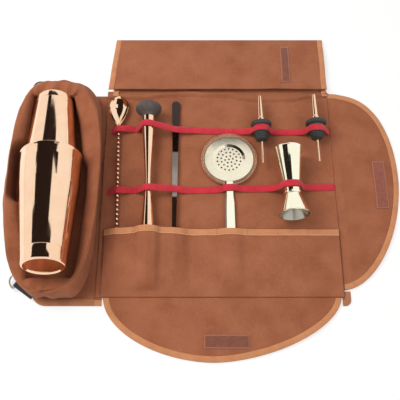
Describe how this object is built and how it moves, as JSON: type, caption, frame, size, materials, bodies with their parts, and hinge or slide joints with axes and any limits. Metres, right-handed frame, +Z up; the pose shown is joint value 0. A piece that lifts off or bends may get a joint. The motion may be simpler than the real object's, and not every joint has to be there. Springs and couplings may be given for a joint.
{
  "type": "bartender bag",
  "caption": "Canvas bartender bag laid open: a flat tool panel with elastic bands, a pocket and flaps beside an open pouch, filled with a shaker and bar tools.",
  "frame": {"origin": "on the underside of the tool panel, 152 mm from the crease beside the pouch and 152 mm from the front flap's hinge line", "axes": "+Z up out of the opened bag, +X from the shaker pouch towards the side flap, +Y towards the tips of the tools and the cover flap"},
  "size_m": [0.5963, 0.5358, 0.0991],
  "materials": {
    "canvas": "plain-woven heavy cotton canvas, waxed matt",
    "binding": "woven edge tape, stitched",
    "elastic": "flat woven elastic",
    "patch": "hook and loop pile",
    "webbing": "dark woven webbing",
    "ring_steel": "polished plated wire",
    "copper": "mirror-polished copper plating on steel",
    "rubber": "moulded matt dark rubber"
  },
  "bodies": {
    "shaker_side": {"shaker_side_shell": "canvas", "shaker_side_binding": "binding", "pouch_wall": "canvas", "pouch_hem": "canvas", "strap_tab_front": "webbing", "strap_tab_rear": "webbing"},
    "tool_side": {"tool_side_shell": "canvas", "tool_lining": "canvas", "corner_binding_left": "binding", "corner_binding_right": "binding", "tool_pocket": "canvas", "pocket_binding": "binding", "upper_elastic_left": "elastic", "upper_elastic_middle": "elastic", "upper_elastic_right": "elastic", "lower_elastic_left": "elastic", "lower_elastic_middle": "elastic", "lower_elastic_right": "elastic", "jigger_long_cup": "copper", "jigger_short_cup": "copper", "jigger_waist_band": "copper"},
    "cover_first": {"cover_first_panel": "canvas", "cover_first_binding_left": "binding", "cover_first_binding_right": "binding"},
    "cover_second": {"cover_second_panel": "canvas", "cover_second_binding_left": "binding", "cover_second_binding_right": "binding", "cover_loop_patch": "patch"},
    "side_flap": {"side_flap": "canvas", "side_flap_binding": "binding", "side_hook_patch": "patch"},
    "front_flap": {"front_flap": "canvas", "front_flap_binding": "binding", "front_hook_patch": "patch"},
    "shaker_large": {"shaker_large_tin": "copper"},
    "shaker_small": {"shaker_small_tin": "copper"},
    "bar_spoon": {"bar_spoon": "copper"},
    "muddler": {"muddler_head": "rubber", "muddler_handle": "copper"},
    "tweezers_lower": {"tweezers_lower_arm": "copper"},
    "tweezers_upper": {"tweezers_upper_arm": "copper"},
    "strainer": {"strainer_plate": "copper", "strainer_spring": "copper", "strainer_handle": "copper"},
    "pourer_left": {"pourer_spout_left": "copper", "pourer_stopper_left": "rubber", "pourer_breather_left": "copper"},
    "pourer_right": {"pourer_spout_right": "copper", "pourer_stopper_right": "rubber", "pourer_breather_right": "copper"},
    "d_ring_front": {"d_ring_front": "ring_steel"},
    "d_ring_rear": {"d_ring_rear": "ring_steel"}
  },
  "joints": [
    {"name": "panel_fold", "type": "hinge", "parent": "shaker_side", "child": "tool_side", "pos_m": [-0.152, 0, 0.0034], "axis": [0, 1, 0], "range_deg": [-50, 0]},
    {"name": "cover_flap", "type": "hinge", "parent": "tool_side", "child": "cover_first", "pos_m": [0.033, 0.191, 0.0034], "axis": [1, 0, 0], "range_deg": [0, 90]},
    {"name": "cover_fold", "type": "hinge", "parent": "cover_first", "child": "cover_second", "pos_m": [0.033, 0.2933, 0.0032], "axis": [-1, 0, 0], "range_deg": [0, 170]},
    {"name": "side_flap", "type": "hinge", "parent": "tool_side", "child": "side_flap", "pos_m": [0.20815, 0.04, 0.0034], "axis": [0, -1, 0], "range_deg": [0, 100]},
    {"name": "front_flap", "type": "hinge", "parent": "tool_side", "child": "front_flap", "pos_m": [0.02, -0.15215, 0.0034], "axis": [-1, 0, 0], "range_deg": [0, 140]},
    {"name": "shaker_lift", "type": "slide", "parent": "shaker_side", "child": "shaker_large", "axis": [0, 0, -1], "range_m": [-0.12, 0]},
    {"name": "small_tin_pull", "type": "slide", "parent": "shaker_large", "child": "shaker_small", "axis": [0.0589, -0.991, 0.1201], "range_m": [-0.004, 0]},
    {"name": "spoon_slide", "type": "slide", "parent": "tool_side", "child": "bar_spoon", "axis": [0.0279, -0.9994, -0.0181], "range_m": [-0.006, 0]},
    {"name": "muddler_slide", "type": "slide", "parent": "tool_side", "child": "muddler", "axis": [0.0174, -0.9985, -0.0517], "range_m": [-0.014, 0]},
    {"name": "tweezers_slide", "type": "slide", "parent": "tool_side", "child": "tweezers_lower", "axis": [0, -1, 0], "range_m": [-0.012, 0]},
    {"name": "tweezers_squeeze", "type": "hinge", "parent": "tweezers_lower", "child": "tweezers_upper", "pos_m": [-0.0388, 0.1705, 0.0052], "axis": [1, 0, 0], "range_deg": [0, 1.2], "stiffness_Nm_per_rad": 0.5},
    {"name": "strainer_slide", "type": "slide", "parent": "tool_side", "child": "strainer", "axis": [0, -1, 0], "range_m": [-0.01, 0]},
    {"name": "pourer_slide_left", "type": "slide", "parent": "tool_side", "child": "pourer_left", "axis": [0.0105, -0.9999, 0], "range_m": [-0.008, 0]},
    {"name": "pourer_slide_right", "type": "slide", "parent": "tool_side", "child": "pourer_right", "axis": [0.0105, -0.9999, 0], "range_m": [-0.008, 0]},
    {"name": "d_ring_front", "type": "hinge", "parent": "shaker_side", "child": "d_ring_front", "pos_m": [-0.26158, -0.13029, 0.0064], "axis": [-0.5736, -0.8192, 0], "range_deg": [-45, 12]},
    {"name": "d_ring_rear", "type": "hinge", "parent": "shaker_side", "child": "d_ring_rear", "pos_m": [-0.26058, 0.19571, 0.0055], "axis": [-0.5736, -0.8192, 0], "range_deg": [-45, 12]}
  ]
}
